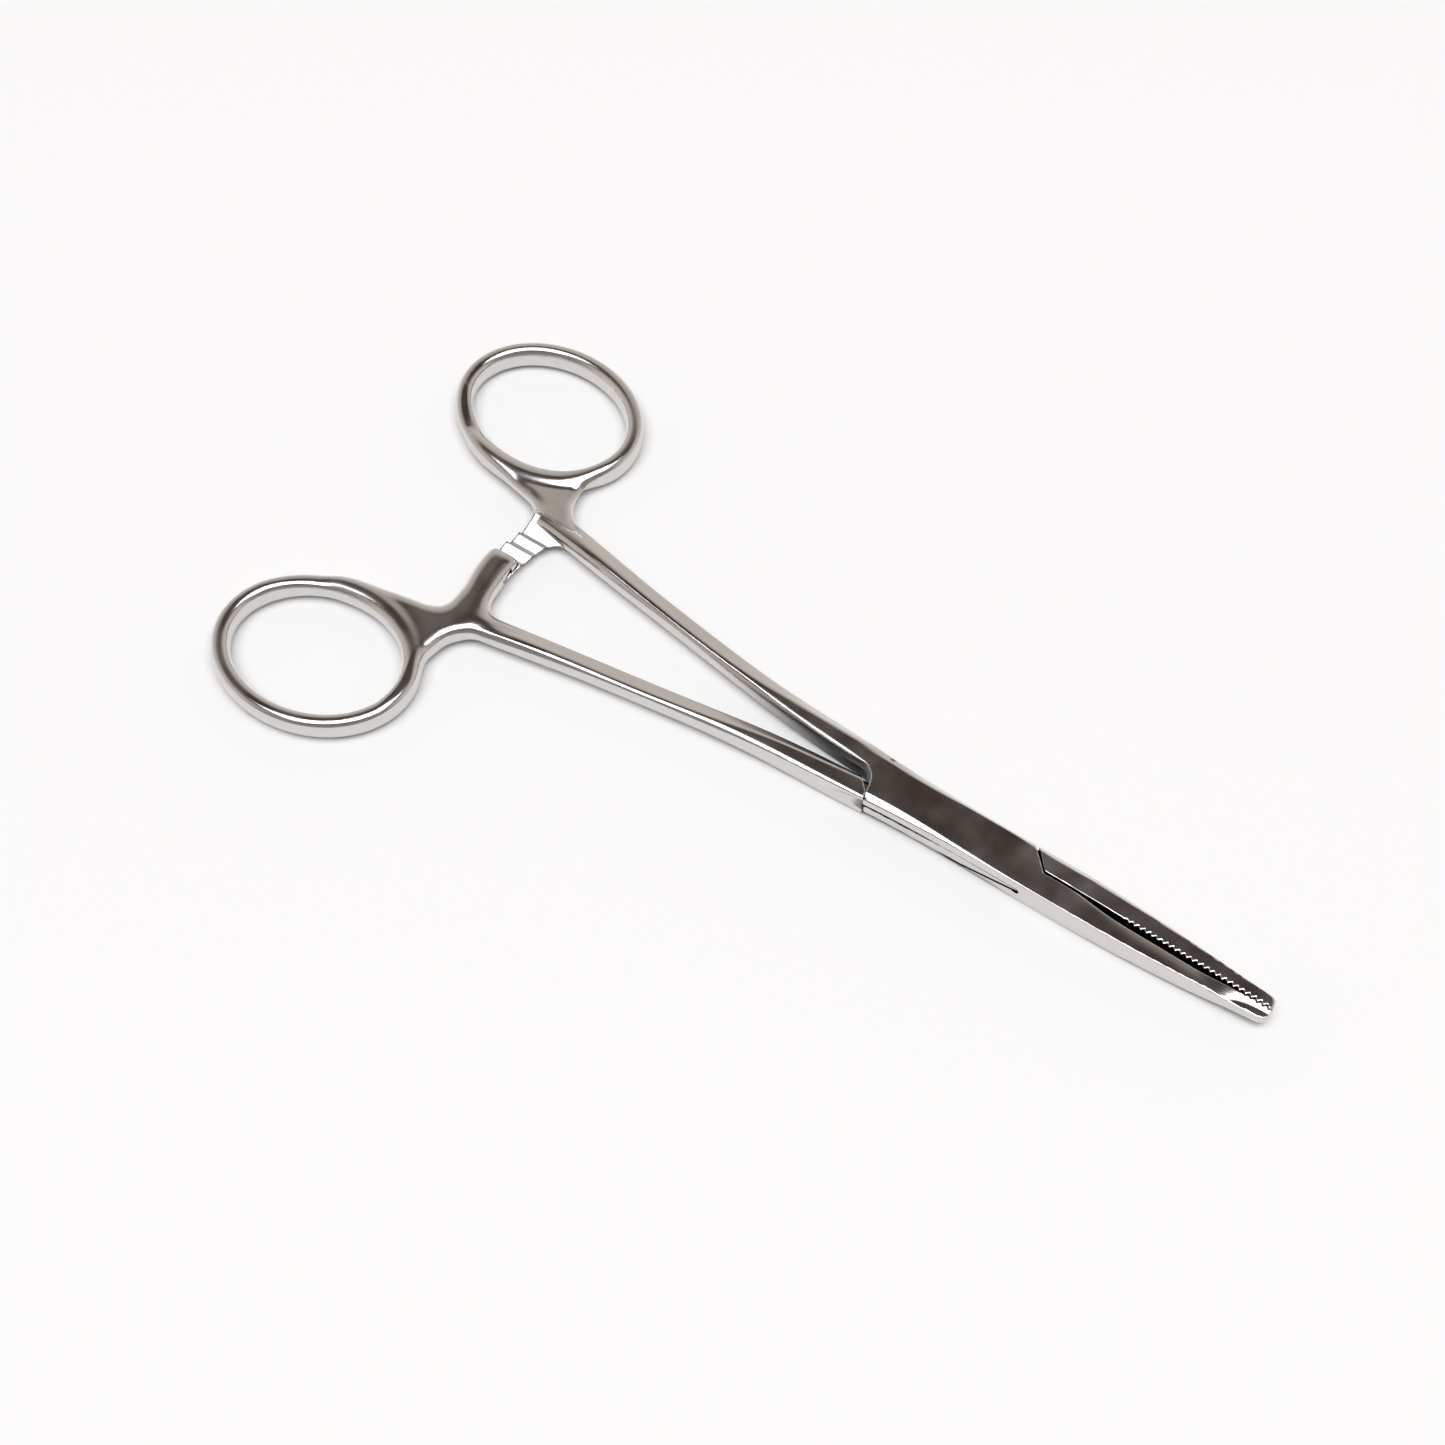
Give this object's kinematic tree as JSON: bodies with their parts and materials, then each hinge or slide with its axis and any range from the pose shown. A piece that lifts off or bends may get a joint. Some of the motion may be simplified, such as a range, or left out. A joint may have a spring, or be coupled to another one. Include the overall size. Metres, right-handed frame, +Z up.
{
  "type": "locking forceps",
  "caption": "Ring-handled locking forceps: two steel halves crossed through a box lock on a flush pin, with a stepped ratchet between the handles and straight cross-serrated jaws.",
  "frame": {"origin": "on the pivot axis, in the plane of the box lock's underside, which the closed forceps rest on", "axes": "+X towards the jaw tips, +Y towards the finger ring of the slotted half, +Z up along the pivot axis"},
  "size_m": [0.1607, 0.0844, 0.0044],
  "materials": {
    "slotted_half_steel": "satin-polished stainless steel",
    "tongue_half_steel": "satin-polished stainless steel",
    "pin_steel": "ground flush and polished with the box"
  },
  "bodies": {
    "slotted_body": {"slotted_half": "slotted_half_steel", "pivot_pin": "pin_steel"},
    "tongue_body": {"tongue_half": "tongue_half_steel"}
  },
  "joints": [
    {"name": "box_lock_pivot", "type": "hinge", "parent": "slotted_body", "child": "tongue_body", "pos_m": [0, 0, 0.0022], "axis": [0, 0, 1], "range_deg": [0, 45]}
  ]
}
